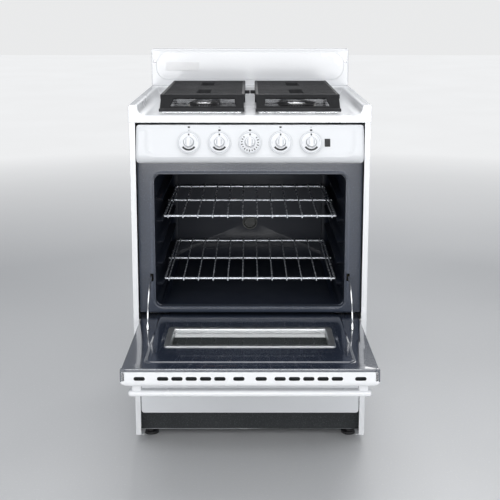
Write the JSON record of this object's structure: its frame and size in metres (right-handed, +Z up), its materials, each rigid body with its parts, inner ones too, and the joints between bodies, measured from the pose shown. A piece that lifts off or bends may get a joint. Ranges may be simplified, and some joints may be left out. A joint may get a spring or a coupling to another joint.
{
  "type": "freestanding gas range",
  "caption": "White freestanding gas range with open burners, cast grates, knobs, a drop-down windowed oven door, wire racks and a lower drawer.",
  "frame": {"origin": "on the floor under the middle of the cabinet's footprint, half way between the front plane of the side panels and the back of the cooktop", "axes": "+Z up, +Y from the front to the back, +X to the right seen from the front"},
  "size_m": [0.61, 1.03, 1.012],
  "materials": {
    "white_enamel": "gloss enamel",
    "blue_enamel": "gloss blue-black enamel with fine speckle",
    "dark_kick": "textured dark paint",
    "plated_steel": "zinc plated steel",
    "black_foot": "moulded black",
    "badge_metal": "satin plate, blank",
    "bright_pan": "brushed bright pan",
    "burner_aluminium": "cast aluminium",
    "black_cap": "black enamelled cap",
    "ceramic": "glazed ceramic",
    "valve_brass": "turned brass",
    "regulator_grey": "die-cast grey",
    "black_plastic": "moulded black",
    "bulb_copper": "drawn copper",
    "lamp_glass": "clear lamp glass",
    "insulation_wool": "glass wool",
    "dark_glass": "dark tinted glass",
    "window_glass": "clear heat-proof glass",
    "rack_chrome": "bright chrome wire",
    "grate_iron": "matt black enamelled iron",
    "pan_enamel": "speckled black enamel",
    "knob_white": "moulded white with grey sides"
  },
  "bodies": {
    "cabinet": {"side_panel_left": "white_enamel", "side_panel_right": "white_enamel", "rear_cover": "plated_steel", "base_frame": "plated_steel", "kick_panel": "dark_kick", "levelling_feet": "black_foot", "oven_front_frame": "blue_enamel", "cooktop": "white_enamel", "backguard": "white_enamel", "badge_plate": "badge_metal", "drip_pans": "bright_pan", "burner_heads": "burner_aluminium", "burner_caps": "black_cap", "burner_tubes": "burner_aluminium", "spark_electrodes": "ceramic", "gas_manifold": "plated_steel", "burner_valves": "valve_brass", "oven_thermostat": "plated_steel", "gas_regulator": "regulator_grey", "control_panel": "white_enamel", "switch_housing": "black_plastic", "oven_cavity": "blue_enamel", "oven_floor_panel": "blue_enamel", "flame_spreader": "plated_steel", "oven_burner": "plated_steel", "thermostat_bulb": "bulb_copper", "oven_lamp": "lamp_glass", "oven_insulation": "insulation_wool", "flue_duct": "plated_steel", "drawer_rails": "plated_steel", "hinge_brackets": "plated_steel", "cord_gland": "black_plastic", "cabinet_screws": "plated_steel"},
    "door": {"door_panel": "white_enamel", "door_liner": "blue_enamel", "door_insulation": "insulation_wool", "window_outer": "dark_glass", "window_inner": "window_glass", "window_retainer": "plated_steel", "door_handle": "white_enamel", "hinge_arms": "plated_steel"},
    "upper_rack": {"rack_upper": "rack_chrome"},
    "lower_rack": {"rack_lower": "rack_chrome"},
    "drawer": {"drawer_front": "white_enamel", "drawer_body": "plated_steel", "broiler_pan": "pan_enamel", "broiler_grid": "pan_enamel"},
    "left_grate": {"grate_left": "grate_iron"},
    "right_grate": {"grate_right": "grate_iron"},
    "rocker": {"light_rocker": "black_plastic"},
    "stem_1": {"valve_stem_1": "valve_brass"},
    "knob_1": {"knob_1": "knob_white"},
    "stem_2": {"valve_stem_2": "valve_brass"},
    "knob_2": {"knob_2": "knob_white"},
    "stem_3": {"valve_stem_3": "valve_brass"},
    "knob_3": {"knob_3": "knob_white"},
    "stem_4": {"valve_stem_4": "valve_brass"},
    "knob_4": {"knob_4": "knob_white"},
    "stem_5": {"valve_stem_5": "valve_brass"},
    "knob_5": {"knob_5": "knob_white"}
  },
  "joints": [
    {"name": "door_hinge", "type": "hinge", "parent": "cabinet", "child": "door", "pos_m": [0, -0.3, 0.3345], "axis": [1, 0, 0], "range_deg": [-88, 0]},
    {"name": "upper_rack_slide", "type": "slide", "parent": "cabinet", "child": "upper_rack", "axis": [0, -1, 0], "range_m": [0, 0.3]},
    {"name": "lower_rack_slide", "type": "slide", "parent": "cabinet", "child": "lower_rack", "axis": [0, -1, 0], "range_m": [0, 0.3]},
    {"name": "drawer_slide", "type": "slide", "parent": "cabinet", "child": "drawer", "axis": [0, -1, 0], "range_m": [0, 0.3]},
    {"name": "rocker_tilt", "type": "hinge", "parent": "cabinet", "child": "rocker", "pos_m": [0.1937, -0.32545, 0.80559], "axis": [1, 0, 0], "range_deg": [0, 16]},
    {"name": "left_grate_lift", "type": "slide", "parent": "cabinet", "child": "left_grate", "axis": [0, 0, 1], "range_m": [0, 0.06]},
    {"name": "right_grate_lift", "type": "slide", "parent": "cabinet", "child": "right_grate", "axis": [0, 0, 1], "range_m": [0, 0.06]},
    {"name": "knob_1_push", "type": "slide", "parent": "cabinet", "child": "stem_1", "axis": [0, 0.9618, -0.2736], "range_m": [0, 0.003], "stiffness_N_per_m": 500},
    {"name": "knob_1_turn", "type": "hinge", "parent": "stem_1", "child": "knob_1", "pos_m": [-0.153, -0.32689, 0.806], "axis": [0, -0.9618, 0.2736], "range_deg": [0, 270]},
    {"name": "knob_2_push", "type": "slide", "parent": "cabinet", "child": "stem_2", "axis": [0, 0.9618, -0.2736], "range_m": [0, 0.003], "stiffness_N_per_m": 500},
    {"name": "knob_2_turn", "type": "hinge", "parent": "stem_2", "child": "knob_2", "pos_m": [-0.0765, -0.32689, 0.806], "axis": [0, -0.9618, 0.2736], "range_deg": [0, 270]},
    {"name": "knob_3_push", "type": "slide", "parent": "cabinet", "child": "stem_3", "axis": [0, 0.9618, -0.2736], "range_m": [0, 0.003], "stiffness_N_per_m": 500},
    {"name": "knob_3_turn", "type": "hinge", "parent": "stem_3", "child": "knob_3", "pos_m": [0, -0.32689, 0.806], "axis": [0, -0.9618, 0.2736], "range_deg": [0, 300]},
    {"name": "knob_4_push", "type": "slide", "parent": "cabinet", "child": "stem_4", "axis": [0, 0.9618, -0.2736], "range_m": [0, 0.003], "stiffness_N_per_m": 500},
    {"name": "knob_4_turn", "type": "hinge", "parent": "stem_4", "child": "knob_4", "pos_m": [0.0765, -0.32689, 0.806], "axis": [0, -0.9618, 0.2736], "range_deg": [0, 270]},
    {"name": "knob_5_push", "type": "slide", "parent": "cabinet", "child": "stem_5", "axis": [0, 0.9618, -0.2736], "range_m": [0, 0.003], "stiffness_N_per_m": 500},
    {"name": "knob_5_turn", "type": "hinge", "parent": "stem_5", "child": "knob_5", "pos_m": [0.153, -0.32689, 0.806], "axis": [0, -0.9618, 0.2736], "range_deg": [0, 270]}
  ]
}
